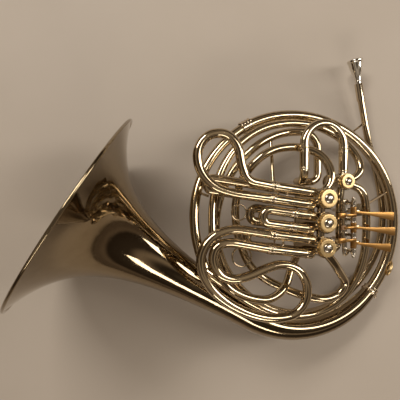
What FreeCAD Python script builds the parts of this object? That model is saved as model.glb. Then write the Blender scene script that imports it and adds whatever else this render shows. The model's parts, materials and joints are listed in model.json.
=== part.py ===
"""Double french horn lying on a flat surface: bell, coil, four rotary valves, slides and levers.

The horn is drawn in its own frame, with the bell's axis and the outer coil in the plane z = 0, the
coil centred on the origin and the valve caps towards +z, and every sub-part's Placement then lays it
on the surface with the bell's side raised.
"""
import FreeCAD, Part
import math
import os
import Sketcher
from FreeCAD import Placement, Rotation, Vector

DIMENSIONS = {
    # how the horn lies on the surface
    "lie_pitch": 14.57, "lie_roll": 0.8, "lie_east": 121.2, "lie_north": -44.6, "lie_lift": 58.95,
    # bell and outer coil
    "bell_diameter": 298.0, "bell_flare_length": 230.0, "bell_wall": 0.55, "bell_run": 305.0,
    "flare_shift": 60.0, "flare_power": 1.145, "rim_bead": 4.4,
    "coil_radius": 166.0, "tail_entry": 38.0, "tail_bottom": 33.0, "tail_end": 21.0,
    "branch_entry": 19.0, "branch_middle": 15.6, "branch_end": 13.6,
    # tubing, all outside diameters, and walls
    "tube_wall": 0.5, "coil_tube": 12.2, "sleeve_tube": 13.6, "bow_tube": 12.8, "leg_tube": 11.9,
    "leg_clearance": 0.05, "ferrule_wall": 0.9, "leadpipe_entry": 10.4, "leadpipe_end": 12.2,
    # valves
    "casing_diameter": 28.0, "casing_base": 12.0, "casing_top": 80.0, "casing_wall": 2.2,
    "cap_diameter": 25.6, "cap_height": 7.0, "rotor_clearance": 0.08, "spindle": 6.0,
    "change_casing_diameter": 24.0, "change_casing_top": 56.0, "change_cap_diameter": 21.0,
    "valve_pitch": 34.2, "f_level": 64.0, "b_level": 36.0, "main_level": 50.0, "slide_angle": 8.0,
    # levers
    "lever_rod": 4.0, "lever_bore_clearance": 0.06, "lever_barrel": 8.6, "lever_height": 72.0,
    "lever_thickness": 2.4, "lever_width": 5.0, "paddle_width": 12.6,
}

doc = FreeCAD.newDocument("FrenchHorn")
sheet = doc.addObject("Spreadsheet::Sheet", "Dims")
for row, (alias, number) in enumerate(DIMENSIONS.items(), start=1):
    sheet.set(f"A{row}", alias)
    sheet.set(f"B{row}", str(number))
    sheet.setAlias(f"B{row}", alias)
doc.recompute()


class Size:
    """A length with its present value and the expression that binds it to the sheet."""

    def __init__(self, value, text):
        self.value = value
        self.text = text

    def __add__(self, other):
        return Size(self.value + value_of(other), f"({self.text} + {text_of(other)})")

    def __sub__(self, other):
        return Size(self.value - value_of(other), f"({self.text} - {text_of(other)})")

    def __mul__(self, other):
        return Size(self.value * value_of(other), f"({self.text} * {text_of(other)})")

    def __truediv__(self, other):
        return Size(self.value / value_of(other), f"({self.text} / {text_of(other)})")


def value_of(number):
    return number.value if isinstance(number, Size) else number


def text_of(number):
    return number.text if isinstance(number, Size) else repr(float(number))


def size(alias):
    """The sheet's cell of that alias as a Size."""
    return Size(float(sheet.get(alias)), "Dims." + alias)


def bind(item, prop, amount):
    """Bind a property to the sheet, or set a plain number."""
    if isinstance(amount, Size):
        item.setExpression(prop, amount.text)
    else:
        setattr(item, prop, amount)


# the lie of the horn on the surface: tilt about Y, a small roll about X, then the lift
LIE = Placement(
    Vector(size("lie_east").value, size("lie_north").value, size("lie_lift").value),
    Rotation(Vector(1, 0, 0), size("lie_roll").value)
    * Rotation(Vector(0, 1, 0), size("lie_pitch").value),
)
UP = Vector(0, 0, 1)
WALL = size("tube_wall")
SUBPARTS = []


def subpart(item, name, local=None):
    """Name a finished object as a sub-part and lay it with the rest of the horn."""
    item.Label = name
    item.Placement = LIE.multiply(local) if local else LIE.multiply(item.Placement)
    SUBPARTS.append(item)
    return item


# ---------------------------------------------------------------- paths
def polar(radius, degrees, height=0.0, centre=(0.0, 0.0)):
    """A point at an angle on a circle about the coil's centre."""
    turn = math.radians(degrees)
    return Vector(centre[0] + radius * math.cos(turn), centre[1] + radius * math.sin(turn), height)


def corner_arc(before, corner, after, reach):
    """The arc tangent to both runs at a corner, with its two tangent points."""
    back = (before - corner).normalize()
    ahead = (after - corner).normalize()
    first = corner + back * reach
    last = corner + ahead * reach
    half = back.getAngle(ahead) / 2
    radius = reach * math.tan(half)
    middle = (back + ahead).normalize()
    summit = corner + middle * (radius / math.sin(half) - radius)
    return first, last, Part.Arc(first, summit, last)


def rounded_path(points):
    """Straight runs joined by tangent arcs, each as large as its two runs allow.

    A point may carry a radius as a fourth number, which then sets that corner's arc.
    """
    spots = [Vector(*point[:3]) for point in points]
    edges = []
    here = spots[0]
    for index in range(1, len(spots) - 1):
        run_in = (spots[index] - spots[index - 1]).Length
        run_out = (spots[index + 1] - spots[index]).Length
        share_in = 0.98 if index == 1 else 0.5
        share_out = 0.98 if index == len(spots) - 2 else 0.5
        reach = min(run_in * share_in, run_out * share_out)
        if len(points[index]) == 4:
            turn = (spots[index] - spots[index - 1]).getAngle(spots[index + 1] - spots[index])
            reach = min(reach, points[index][3] * math.tan(turn / 2))
        first, last, arc = corner_arc(spots[index - 1], spots[index], spots[index + 1], reach)
        if (first - here).Length > 0.01:
            edges.append(Part.LineSegment(here, first).toShape())
        edges.append(arc.toShape())
        here = last
    edges.append(Part.LineSegment(here, spots[-1]).toShape())
    return Part.Wire(edges)


def station(wire, distance):
    """The point and the direction at a distance along a wire."""
    left = distance
    for edge in wire.OrderedEdges:
        if left <= edge.Length + 1e-6:
            spot = edge.getParameterByLength(min(left, edge.Length))
            direction = edge.tangentAt(spot)
            if edge.Orientation == "Reversed":
                spot = edge.getParameterByLength(max(edge.Length - left, 0.0))
                direction = edge.tangentAt(spot) * -1
            return edge.valueAt(spot), direction
        left -= edge.Length
    raise ValueError("a station lies past the end of its path")


def spine(name, wire):
    path = doc.addObject("Part::Feature", name + "_path")
    path.Shape = wire
    return path


def swept(name, path, sections):
    """A solid swept along a path, through circles given as (share of the length, diameter)."""
    wire = path.Shape
    circles = []
    for number, (share, diameter) in enumerate(sections):
        point, direction = station(wire, wire.Length * share)
        circle = doc.addObject("Part::Circle", f"{name}_ring_{number}")
        circle.Placement = Placement(point, Rotation(UP, direction))
        bind(circle, "Radius", diameter / 2)
        circles.append(circle)
    sweep = doc.addObject("Part::Sweep", name)
    sweep.Sections = circles
    sweep.Spine = (path, [f"Edge{n + 1}" for n in range(len(wire.Edges))])
    sweep.Solid = True
    sweep.Frenet = False
    return sweep


def hollow(name, wire, sections, wall=WALL):
    """A tube: the outside sweep with its bore cut out."""
    path = spine(name, wire)
    outside = swept(name + "_outside", path, sections)
    bore = swept(name + "_bore", path, [(share, width - wall * 2) for share, width in sections])
    cut = doc.addObject("Part::Cut", name)
    cut.Base = outside
    cut.Tool = bore
    return cut


def pipe(name, points, diameter, wall=WALL):
    """A tube of one diameter along rounded runs."""
    return hollow(name, rounded_path(points), [(0.0, diameter)], wall)


def rod(name, points, diameter):
    """A solid bent rod."""
    return swept(name, spine(name, rounded_path(points)), [(0.0, diameter)])


# ---------------------------------------------------------------- simple solids
def cylinder(name, diameter, start, end):
    """A round bar between two points."""
    item = doc.addObject("Part::Cylinder", name)
    bind(item, "Radius", diameter / 2)
    item.Height = (Vector(*end) - Vector(*start)).Length
    item.Placement = Placement(Vector(*start), Rotation(UP, Vector(*end) - Vector(*start)))
    return item


def ring(name, outside, inside, start, end):
    """A round sleeve between two points."""
    cut = doc.addObject("Part::Cut", name)
    cut.Base = cylinder(name + "_outer", outside, start, end)
    cut.Tool = cylinder(name + "_inner", inside, start, end)
    return cut


def box(name, length, width, height, corner):
    item = doc.addObject("Part::Box", name)
    bind(item, "Length", length)
    bind(item, "Width", width)
    bind(item, "Height", height)
    item.Placement = Placement(Vector(*corner), Rotation())
    return item


def loop_ring(name, diameter, wire_diameter, centre, normal=UP):
    """A round wire ring."""
    item = doc.addObject("Part::Torus", name)
    item.Radius1 = diameter / 2
    item.Radius2 = wire_diameter / 2
    item.Placement = Placement(Vector(*centre), Rotation(UP, normal))
    return item


def fused(name, pieces):
    item = doc.addObject("Part::MultiFuse", name)
    item.Shapes = pieces
    return item


def grouped(name, pieces):
    """Separate solids that share one node."""
    item = doc.addObject("Part::Compound", name)
    item.Links = pieces
    return item


def cut_from(name, base, tool):
    item = doc.addObject("Part::Cut", name)
    item.Base = base
    item.Tool = tool
    return item


def plane_sketch(body, name, role):
    """A sketch on one of its body's own origin planes."""
    sketch = body.newObject("Sketcher::SketchObject", name)
    plane = [item for item in body.Origin.OriginFeatures if item.Role == role][0]
    sketch.AttachmentSupport = [(plane, "")]
    sketch.MapMode = "FlatFace"
    return sketch


def closed_outline(sketch, corners):
    """A closed run of lines whose corners are bound to the sheet where they are Sizes."""
    count = len(corners)
    spots = [Vector(value_of(a), value_of(b), 0) for a, b in corners]
    for index in range(count):
        sketch.addGeometry(Part.LineSegment(spots[index], spots[(index + 1) % count]), False)
    for index in range(count):
        following = (index + 1) % count
        sketch.addConstraint(Sketcher.Constraint("Coincident", index, 2, following, 1))
    for index, corner in enumerate(corners):
        for kind, amount in (("DistanceX", corner[0]), ("DistanceY", corner[1])):
            number = sketch.addConstraint(
                Sketcher.Constraint(kind, -1, 1, index, 1, value_of(amount)))
            if isinstance(amount, Size):
                sketch.setExpression(f"Constraints[{number}]", amount.text)


def turned(name, corners):
    """A body turned about its own Z from corners given as (radius, height)."""
    body = doc.addObject("PartDesign::Body", name)
    sketch = plane_sketch(body, name + "_profile", "XZ_Plane")
    closed_outline(sketch, corners)
    turn = body.newObject("PartDesign::Revolution", name + "_turn")
    turn.Profile = sketch
    turn.ReferenceAxis = (sketch, ["V_Axis"])
    turn.Angle = 360.0
    return body


def plate(name, corners, thickness):
    """A flat body cut to an outline in XY and padded upwards."""
    body = doc.addObject("PartDesign::Body", name)
    sketch = plane_sketch(body, name + "_outline", "XY_Plane")
    closed_outline(sketch, corners)
    pad = body.newObject("PartDesign::Pad", name + "_pad")
    pad.Profile = sketch
    bind(pad, "Length", thickness)
    return body


# ---------------------------------------------------------------- bell and outer coil
TANGENT_ANGLE = -122.5
COIL = size("coil_radius").value
BELL_RUN = size("bell_run").value
FLARE_LENGTH = size("bell_flare_length").value
outward = polar(1.0, TANGENT_ANGLE - 90)
bell_foot = polar(COIL, TANGENT_ANGLE)
rim_centre = bell_foot + outward * BELL_RUN

# the coil's arcs: about the origin up to LEAVE, then a wide top arc and a tighter left one
LEAVE, TOP_END = 50.0, 100.0
TOP_RADIUS, LEFT_RADIUS = 185.0, 162.0
top_centre = polar(COIL - TOP_RADIUS, LEAVE)
left_centre = top_centre + polar(TOP_RADIUS - LEFT_RADIUS, TOP_END)
TAIL_FERRULE, TOP_FERRULE = -41.0, 119.0


def arc_edge(centre, radius, first, last):
    """An arc of the coil about a centre, from one angle to the other."""
    at = (centre.x, centre.y)
    middle = (first + last) / 2
    return Part.Arc(polar(radius, first, 0, at), polar(radius, middle, 0, at),
                    polar(radius, last, 0, at)).toShape()


def flare_radius(distance):
    """The bell's outside radius at a distance behind the rim."""
    shift = size("flare_shift").value
    power = size("flare_power").value
    return size("bell_diameter").value / 2 * (shift / (shift + distance)) ** power


def bell_flare():
    """The flare, turned about the bell's axis, with its rolled rim."""
    body = doc.addObject("PartDesign::Body", "bell_flare")
    sketch = plane_sketch(body, "bell_profile", "XZ_Plane")
    wall = size("bell_wall").value
    steps = 11
    outside, inside = [], []
    for step in range(steps):
        back = FLARE_LENGTH * (step / (steps - 1)) ** 1.7
        slope = (flare_radius(back + 0.5) - flare_radius(abs(back - 0.5))) / 1.0
        if back < 0.5:
            slope = (flare_radius(0.5) - flare_radius(0.0)) / 0.5
        tilt = math.atan(slope)
        outside.append(Vector(flare_radius(back), -back, 0))
        inside.append(Vector(flare_radius(back) - wall * math.cos(tilt),
                             -back - wall * math.sin(tilt), 0))
    inside[-1] = Vector(inside[-1].x, -FLARE_LENGTH, 0)
    for run in (outside, inside):
        curve = Part.BSplineCurve()
        curve.interpolate(run)
        sketch.addGeometry(curve, False)
    sketch.addGeometry(Part.LineSegment(outside[0], inside[0]), False)
    sketch.addGeometry(Part.LineSegment(outside[-1], inside[-1]), False)
    turn = body.newObject("PartDesign::Revolution", "bell_turn")
    turn.Profile = sketch
    turn.ReferenceAxis = (sketch, ["V_Axis"])
    turn.Angle = 360.0
    doc.recompute()
    bead = plane_sketch(body, "rim_profile", "XZ_Plane")
    bead_radius = size("rim_bead").value / 2
    bead.addGeometry(Part.Circle(Vector(flare_radius(0) - bead_radius * 0.6, -bead_radius * 0.2, 0),
                                 UP, bead_radius), False)
    roll = body.newObject("PartDesign::Revolution", "rim_turn")
    roll.Profile = bead
    roll.ReferenceAxis = (bead, ["V_Axis"])
    roll.Angle = 360.0
    return subpart(body, "bell_flare", Placement(rim_centre, Rotation(UP, outward)))


def bell_tail():
    """The tapered tail from the flare, round the bottom of the coil to its ferrule."""
    flare_end = rim_centre - outward * FLARE_LENGTH
    wire = Part.Wire([Part.LineSegment(flare_end, bell_foot).toShape(),
                      arc_edge(Vector(), COIL, TANGENT_ANGLE, TAIL_FERRULE)])
    straight = (flare_end - bell_foot).Length / wire.Length
    throat = flare_radius(FLARE_LENGTH) * 2
    sections = [(0.0, Size(throat, repr(throat))), (straight, size("tail_entry")),
                (straight + (1 - straight) * 0.5, size("tail_bottom") - 2.0),
                (1.0, size("tail_end"))]
    return subpart(hollow("bell_tail", wire, sections, size("bell_wall")), "bell_tail")


def outer_branch():
    """The main coil tube from the tail's ferrule up the right side and over the top."""
    wire = Part.Wire([arc_edge(Vector(), COIL, TAIL_FERRULE, LEAVE),
                      arc_edge(top_centre, TOP_RADIUS, LEAVE, TOP_END),
                      arc_edge(left_centre, LEFT_RADIUS, TOP_END, TOP_FERRULE)])
    sections = [(0.0, size("branch_entry")), (0.5, size("branch_middle") + 0.8),
                (1.0, size("branch_middle"))]
    return subpart(hollow("outer_branch", wire, sections), "outer_branch")


def left_branch():
    """The coil's left side, which rises clear of the bell and ends at the lower left ferrule."""
    centre = (left_centre.x, left_centre.y)
    points = [polar(LEFT_RADIUS, TOP_FERRULE, 0, centre)]
    for angle, height in ((129, 0), (143, 1), (157, 4), (171, 9), (185, 16), (199, 24)):
        reach = LEFT_RADIUS / math.cos(math.radians(7)) if angle > 130 else LEFT_RADIUS + 0.6
        points.append(polar(reach, angle, height, centre))
    points.append(polar(LEFT_RADIUS + 1, 206, 27, centre))
    wire = rounded_path([tuple(point) for point in points])
    sections = [(0.0, size("branch_middle") - 0.4), (1.0, size("branch_end"))]
    return subpart(hollow("left_branch", wire, sections), "left_branch")


bell_flare()
bell_tail()
outer_branch()
left_branch()


# ---------------------------------------------------------------- coil tubes
TAIL_END = polar(COIL, TAIL_FERRULE)
tail_along = polar(1.0, TAIL_FERRULE + 90)
ferrules = [ring("tail_ferrule", size("tail_end") + 2.2, size("tail_end") + 0.6,
                 TAIL_END - tail_along * 9, TAIL_END + tail_along * 1.0)]
TOP_JOINT = polar(LEFT_RADIUS, TOP_FERRULE, 0, (left_centre.x, left_centre.y))
top_along = polar(1.0, TOP_FERRULE + 90)
ferrules.append(ring("top_ferrule", size("branch_middle") + 2.6, size("branch_middle") + 0.8,
                     TOP_JOINT - top_along * 8, TOP_JOINT + top_along * 8))

# the leadpipe passes under the coil at the upper right, rounds the coil once and comes down
# inside it to the left leg of the main tuning slide
MAIN_LEFT, MAIN_RIGHT = -25.0, 38.2
MAIN_LEVEL = size("main_level").value
MAIN_JOINT = 81.0
MOUTH_TOP = Vector(98.3, 267.4, -8.0)
MOUTH_ALONG = Vector(16.0, -78.0, -2.0).normalize()


def along_mouthpipe(distance):
    return MOUTH_TOP + MOUTH_ALONG * distance


LEADPIPE = [along_mouthpipe(52.0), Vector(124, 150, -11.6), Vector(136, 116, -15.6),
            Vector(149, 82, -17.2), Vector(156, 44, -15.4), polar(158.4, 2, -13.0),
            polar(158, -16, -15.2), polar(155.5, -33, -18), polar(152.5, -49, -17.6),
            polar(150, -64, -15.2)]
COIL_PIPE = [polar(149, -66.5, -14.8), polar(149, -76, -13.6), polar(147, -92, -13), polar(144, -110, -13),
             polar(142, -129, -12), polar(142, -148, -9), polar(143, -166, -4), polar(144, 176, 1),
             polar(145, 158, 7), polar(146, 141, 12), polar(147, 124, 16), polar(147, 108, 16),
             (15.6, 144.5, 16, 26.0), (15.6, 66, 18, 14.0), (MAIN_LEFT, 66, 18, 15.0),
             (MAIN_LEFT, 66, MAIN_LEVEL, 14.0), (MAIN_LEFT, MAIN_JOINT, MAIN_LEVEL)]


def tidy(points):
    return [tuple(point) for point in points]


lead_wire = rounded_path(tidy(LEADPIPE))
subpart(hollow("leadpipe", lead_wire, [(0.0, size("leadpipe_entry")), (1.0, size("leadpipe_end"))]),
        "leadpipe")
subpart(pipe("coil_pipe", tidy(COIL_PIPE), size("coil_tube")), "coil_pipe")
lead_end, lead_before = LEADPIPE[-1], LEADPIPE[-2]
lead_along = (lead_end - lead_before).normalize()
ferrules.append(ring("lead_ferrule", size("leadpipe_end") + 2.0, size("leadpipe_end") + 0.5,
                     lead_end - lead_along * 7, lead_end + lead_along * 4.0))

# receiver and mouthpiece: the mouthpiece's shank stands in the receiver's bore
receiver_blank = ring("receiver_blank", size("leadpipe_entry") + 2.4, size("leadpipe_entry") - 1.9,
                      along_mouthpipe(38.0), along_mouthpipe(66.0))
receiver_seat = cylinder("receiver_seat", size("leadpipe_entry") + 0.2, along_mouthpipe(52.0),
                         along_mouthpipe(67.0))
subpart(cut_from("mouthpiece_receiver", receiver_blank, receiver_seat), "mouthpiece_receiver")
mouth_outline = [(9.4, 0), (10.6, 1.1), (12.0, 0.9), (12.6, -0.6), (12.4, -2.4), (11.4, -4.2),
                 (10.3, -8.0), (9.4, -14.0), (7.4, -20.0), (5.6, -26.0), (4.6, -31.0), (4.2, -36.5),
                 (4.2, -51.0), (3.3, -51.0), (2.4, -27.0), (3.4, -23.0), (7.2, -13.0), (9.0, -4.0)]
subpart(turned("mouthpiece", mouth_outline), "mouthpiece",
        Placement(MOUTH_TOP, Rotation(UP, MOUTH_ALONG * -1)))

# the second coil tube, from the change valve over the top and down the left to the third valve
VALVES = [Vector(-6.3, 41.2, 0), Vector(-6.9, 7.6, 0), Vector(-7.8, -26.4, 0)]
CHANGE = Vector(39.6, 65.8, 0)
INNER_COIL = [(50.0, 69.4, 29), (70, 69, 29), (85, 84, 28), (84, 106, 20), (64, 134, 10),
              (22, 154.5, 8), (-34, 157, 9), (-79, 144.5, 9.5), (-115, 118, 10), (-139, 81, 12),
              (-152, 34, 14), (-153, -12, 20), (-151, -50, 32), (-141, -80, 41), (-112, -98, 42),
              (-74, -106, 41), (-47, -90, 37), (-34, -66, 26), (-16.7, -38.9, 19.5)]
subpart(pipe("inner_coil_pipe", INNER_COIL, size("coil_tube")), "inner_coil_pipe")

# the left branch's end joins the feed pipe, which rounds the bottom to the change valve
left_end = polar(LEFT_RADIUS + 1, 206, 27, (left_centre.x, left_centre.y))
FEED = [left_end, polar(159, -147.5, 26.5), polar(149, -132, 23), polar(145, -115, 18),
        polar(142, -97, 17), polar(138, -80, 18), Vector(58, -112, 26), Vector(76, -72, 38),
        Vector(82, -30, 44), Vector(82, 26, 44), Vector(76, 54, 44), Vector(50.6, 62.4, 44)]
subpart(pipe("feed_pipe", tidy(FEED), size("coil_tube")), "feed_pipe")
feed_along = (FEED[1] - FEED[0]).normalize()
ferrules.append(ring("feed_ferrule", size("branch_end") + 2.4, size("branch_end") + 0.8,
                     left_end - feed_along * 6, left_end + feed_along * 6))
subpart(grouped("coil_ferrules", ferrules), "coil_ferrules")

# the return pipe: third valve, round the lower right, under the slides and over to the first valve
RETURN_LOW = [(-0.2, -37.4, 70), (13, -50, 66), (30, -68, 56), (45, -84, 48), (38, -100, 45.5),
              (14, -108.5, 45), (-8, -105, 42), (-28, -100, 30), (-50, -90, 22)]
RETURN_HIGH = [(-50, -90, 22), (-72, -80, 14), (-97, -56, 14), (-114, -14, 14), (-118, 30, 16),
               (-112, 62, 19), (-100, 86, 31), (-83, 103, 35.5), (-62, 113, 35.5),
               (-38, 116.5, 35.5), (-14, 114.5, 37), (6, 104, 46), (15, 84, 54), (15, 64, 56),
               (3, 50.7, 56)]
subpart(pipe("return_pipe_low", RETURN_LOW, size("coil_tube")), "return_pipe_low")
subpart(pipe("return_pipe_high", RETURN_HIGH, size("coil_tube")), "return_pipe_high")

# the link from the change valve's foot past the levers to the third valve
LINK = [(35.6, 54.9, 48), (33, 36, 48), (33, -22, 48), (25, -36, 48), (5.3, -30.4, 48)]
subpart(pipe("link_pipe", LINK, size("coil_tube") - 1.2), "link_pipe")

# ---------------------------------------------------------------- valves
BASE = size("casing_base")
TOP = size("casing_top")
CAP = size("cap_height")
CHANGE_TOP = size("change_casing_top")
F_LEVEL = size("f_level").value
B_LEVEL = size("b_level").value


PASSAGE = Size(9.0, "9.0")
PASSAGE_OFFSET = 5.4


def valve_sizes(change):
    """Casing diameter, its top and its cap's diameter for a finger valve or the change valve."""
    if change:
        return size("change_casing_diameter"), CHANGE_TOP, size("change_cap_diameter")
    return size("casing_diameter"), TOP, size("cap_diameter")


def valve(name, axis, change):
    """One rotary valve: casing, rotor with its spindle, and the stop arm on the spindle's foot."""
    width, top, _ = valve_sizes(change)
    bore = width / 2 - size("casing_wall")
    outer = width / 2
    floor = BASE + 3.0
    hole = size("spindle") / 2 + size("rotor_clearance") * 0.5
    casing = turned(name + "_casing", [
        (hole, BASE), (outer, BASE), (outer, top), (bore, top), (bore, floor), (hole, floor)])
    subpart(casing, name + "_casing", Placement(axis, Rotation()))
    reach = bore - size("rotor_clearance")
    pin = size("spindle") / 2
    blank = turned(name + "_rotor_blank", [
        (0, BASE - 7.5), (pin, BASE - 7.5), (pin, floor + 0.4), (reach, floor + 0.4),
        (reach, top - 5.0), (pin, top - 5.0), (pin, top - 2.0), (0, top - 2.0)])
    ports = [cylinder(f"{name}_port_{level}_{side}", PASSAGE, (-20, side * PASSAGE_OFFSET, level),
                      (20, side * PASSAGE_OFFSET, level))
             for level in ((26.0, 43.0) if change else (B_LEVEL, F_LEVEL)) for side in (-1, 1)]
    subpart(cut_from(name + "_rotor", blank, fused(name + "_ports", ports)), name + "_rotor",
            Placement(axis, Rotation()))
    hub = ring(name + "_hub", size("spindle") + 6.0, size("spindle") + 0.02,
               axis + UP * (BASE.value - 7.0), axis + UP * (BASE.value - 3.0))
    arm = box(name + "_arm", 7.5, 4.4, 3.0, axis + Vector(3.6, -2.2, BASE.value - 6.5))
    post = cylinder(name + "_post", Size(3.4, "3.4"), axis + Vector(9.4, 0, BASE.value - 7.5),
                    axis + Vector(9.4, 0, BASE.value - 3.0))
    stop = fused(name + "_stop_arm", [hub, arm, post])
    subpart(stop, name + "_stop_arm")


def valve_cap(name, axis, change):
    """A screwed cap with its rim and the round boss at its middle."""
    _, top, cap_width = valve_sizes(change)
    rim = cap_width / 2
    seat = top + 0.02
    cap = turned(name, [(0, seat), (rim, seat), (rim, seat + CAP * 0.62),
                        (rim - 1.2, seat + CAP * 0.8), (5.0, seat + CAP * 0.8),
                        (4.6, seat + CAP * 0.62), (0, seat + CAP * 0.62)])
    subpart(cap, name, Placement(axis, Rotation()))


for number, axis in enumerate(VALVES, start=1):
    valve(f"valve_{number}", axis, False)
    valve_cap(f"valve_cap_{number}", axis, False)
valve("change_valve", CHANGE, True)
valve_cap("change_valve_cap", CHANGE, True)

# short links between neighbouring casings, at both levels
links = []
for upper, lower in ((VALVES[0], VALVES[1]), (VALVES[1], VALVES[2])):
    toward = (lower - upper).normalize()
    gap = size("casing_diameter").value / 2 - 0.6
    for level in (B_LEVEL, F_LEVEL):
        links.append(cylinder(f"link_{len(links)}", size("coil_tube") - 1.0,
                              upper + toward * gap + UP * level, lower - toward * gap + UP * level))
subpart(grouped("casing_links", links), "casing_links")

# ---------------------------------------------------------------- slides
ANGLE = math.radians(180 - size("slide_angle").value)
along = Vector(math.cos(ANGLE), math.sin(ANGLE), 0)
across = Vector(-along.y, along.x, 0) * -1
SLEEVE_BORE = size("leg_tube") + size("leg_clearance") * 2


def slide_point(axis, forward, side, level, drop=2.0):
    """A point of a valve slide: forward from the valve's axis, to one side of its middle line."""
    return axis + along * forward + across * side + Vector(0, -drop, level)


def sleeves(name, axis, half, level, start, end):
    """The two fixed outer tubes of a valve slide."""
    pair = [ring(f"{name}_{tag}", size("sleeve_tube"), SLEEVE_BORE,
                 slide_point(axis, start, side, level), slide_point(axis, end, side, level))
            for tag, side in (("upper", half), ("lower", -half))]
    subpart(grouped(name, pair), name)


def legs(name, axis, half, level, start, end):
    """The slide's two inner tubes, from inside the sleeves to the bow."""
    return [ring(f"{name}_leg_{tag}", size("leg_tube"), size("leg_tube") - WALL * 2,
                 slide_point(axis, start, side, level), slide_point(axis, end, side, level))
            for tag, side in (("upper", half), ("lower", -half))]


def u_bow(name, axis, half, level, start, turn):
    """A plain bow: out, round and back."""
    points = [slide_point(axis, start, half, level), slide_point(axis, turn, half, level),
              slide_point(axis, turn, -half, level), slide_point(axis, start, -half, level)]
    rounded = [tuple(points[0]), tuple(points[1]) + (half,), tuple(points[2]) + (half,),
               tuple(points[3])]
    return pipe(name, rounded, size("bow_tube"))


SLEEVE_START = size("casing_diameter").value / 2 - 1.2
LEG_IN = 34.0
LEG_STOP = 17.0


def valve_slide(name, axis, half, level, sleeve_end, bow, extras=()):
    """One valve slide: fixed sleeves, inner legs and the bow that draws out with them."""
    sleeves(name + "_sleeves", axis, half, level, SLEEVE_START, sleeve_end)
    pair = legs(name, axis, half, level, max(sleeve_end - LEG_IN, LEG_STOP), sleeve_end + BOW_GAP)
    subpart(grouped(name, pair + [bow] + list(extras)), name)


F_HALF = (8.6, 9.3, 10.0)
F_SLEEVE = (74.0, 44.0, 74.0)
BOW_GAP = 0.6

# first F slide: its bow swings up into a wide loop
f1_start, f1_end = (slide_point(VALVES[0], F_SLEEVE[0] + BOW_GAP, side, F_LEVEL)
                    for side in (F_HALF[0], -F_HALF[0]))
F1_BOW = [tuple(f1_start), (-116, 64.6, F_LEVEL), (-124.4, 84, F_LEVEL), (-129, 112, F_LEVEL),
          (-145, 128, F_LEVEL), (-171, 126, F_LEVEL), (-186, 106, F_LEVEL),
          (-184, 81, F_LEVEL), (-166, 57.5, F_LEVEL), (-138, 48, F_LEVEL), tuple(f1_end)]
valve_slide("f1_slide", VALVES[0], F_HALF[0], F_LEVEL, F_SLEEVE[0],
            pipe("f1_tube", F1_BOW, size("bow_tube")))

valve_slide("f2_slide", VALVES[1], F_HALF[1], F_LEVEL, F_SLEEVE[1],
            u_bow("f2_tube", VALVES[1], F_HALF[1], F_LEVEL, F_SLEEVE[1] + BOW_GAP, 88.0))

# third F slide: a large outer loop that folds back into a small inner one
f3_start, f3_end = (slide_point(VALVES[2], F_SLEEVE[2] + BOW_GAP, side, F_LEVEL)
                    for side in (F_HALF[2], -F_HALF[2]))
F3_BOW = [tuple(f3_start), (-138, 1.6, F_LEVEL), (-166, -8, F_LEVEL), (-181, -30, F_LEVEL),
          (-180, -54, F_LEVEL), (-167, -78, F_LEVEL), (-143, -99, F_LEVEL), (-111, -116, F_LEVEL),
          (-78, -124, F_LEVEL), (-46, -121, F_LEVEL), (-28, -103, F_LEVEL), (-27, -77, F_LEVEL),
          (-41, -56, F_LEVEL), (-66, -48, F_LEVEL), (-90, -54, F_LEVEL), (-114, -63.5, F_LEVEL),
          (-138, -67.6, F_LEVEL), (-158, -58, F_LEVEL), (-166, -39, F_LEVEL),
          (-160, -20.5, F_LEVEL), (-142, -16.4, F_LEVEL), tuple(f3_end)]
valve_slide("f3_slide", VALVES[2], F_HALF[2], F_LEVEL, F_SLEEVE[2],
            pipe("f3_tube", F3_BOW, size("bow_tube")))

# the B-flat slides lie behind the F slides; the second and third carry wire pull rings
B_SLEEVE = (70.0, 46.0, 62.0)
B_TURN = (160.0, 96.0, 100.0)
PULL_RING = 22.0
for index, axis in enumerate(VALVES):
    name = f"b{index + 1}_slide"
    bow = u_bow(f"b{index + 1}_tube", axis, F_HALF[index], B_LEVEL, B_SLEEVE[index] + BOW_GAP,
                B_TURN[index])
    extras = []
    if index == 1:
        centre = slide_point(axis, B_TURN[index] + PULL_RING / 2 + 7.0, 0, B_LEVEL + 4)
        extras = [loop_ring("b2_ring", PULL_RING, 2.2, centre)]
    if index == 2:
        centre = slide_point(axis, B_TURN[index] + 5.0, -F_HALF[index] - 17.0, B_LEVEL + 4)
        extras = [loop_ring("b3_ring", PULL_RING + 6.0, 2.4, centre)]
    valve_slide(name, axis, F_HALF[index], B_LEVEL, B_SLEEVE[index], bow, extras)

# main tuning slide: an inverted U over the top of the coil
MAIN_SLEEVE_END, MAIN_TURN = 113.0, 149.6
main_pair = [ring("main_left", size("sleeve_tube"), SLEEVE_BORE,
                  (MAIN_LEFT, MAIN_JOINT, MAIN_LEVEL), (MAIN_LEFT, MAIN_SLEEVE_END, MAIN_LEVEL)),
             ring("main_right", size("sleeve_tube"), SLEEVE_BORE,
                  (MAIN_RIGHT, 77.0, MAIN_LEVEL), (MAIN_RIGHT, MAIN_SLEEVE_END, MAIN_LEVEL))]
subpart(grouped("main_slide_sleeves", main_pair), "main_slide_sleeves")
main_legs = [ring(f"main_leg_{tag}", size("leg_tube"), size("leg_tube") - WALL * 2,
                  (x, MAIN_SLEEVE_END - LEG_IN + 4, MAIN_LEVEL),
                  (x, MAIN_SLEEVE_END + BOW_GAP, MAIN_LEVEL))
             for tag, x in (("left", MAIN_LEFT), ("right", MAIN_RIGHT))]
main_half = (MAIN_RIGHT - MAIN_LEFT) / 2
MAIN_BOW = [(MAIN_LEFT, MAIN_SLEEVE_END + BOW_GAP, MAIN_LEVEL),
            (MAIN_LEFT, MAIN_TURN, MAIN_LEVEL, main_half),
            (MAIN_RIGHT, MAIN_TURN, MAIN_LEVEL, main_half),
            (MAIN_RIGHT, MAIN_SLEEVE_END + BOW_GAP, MAIN_LEVEL)]
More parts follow.
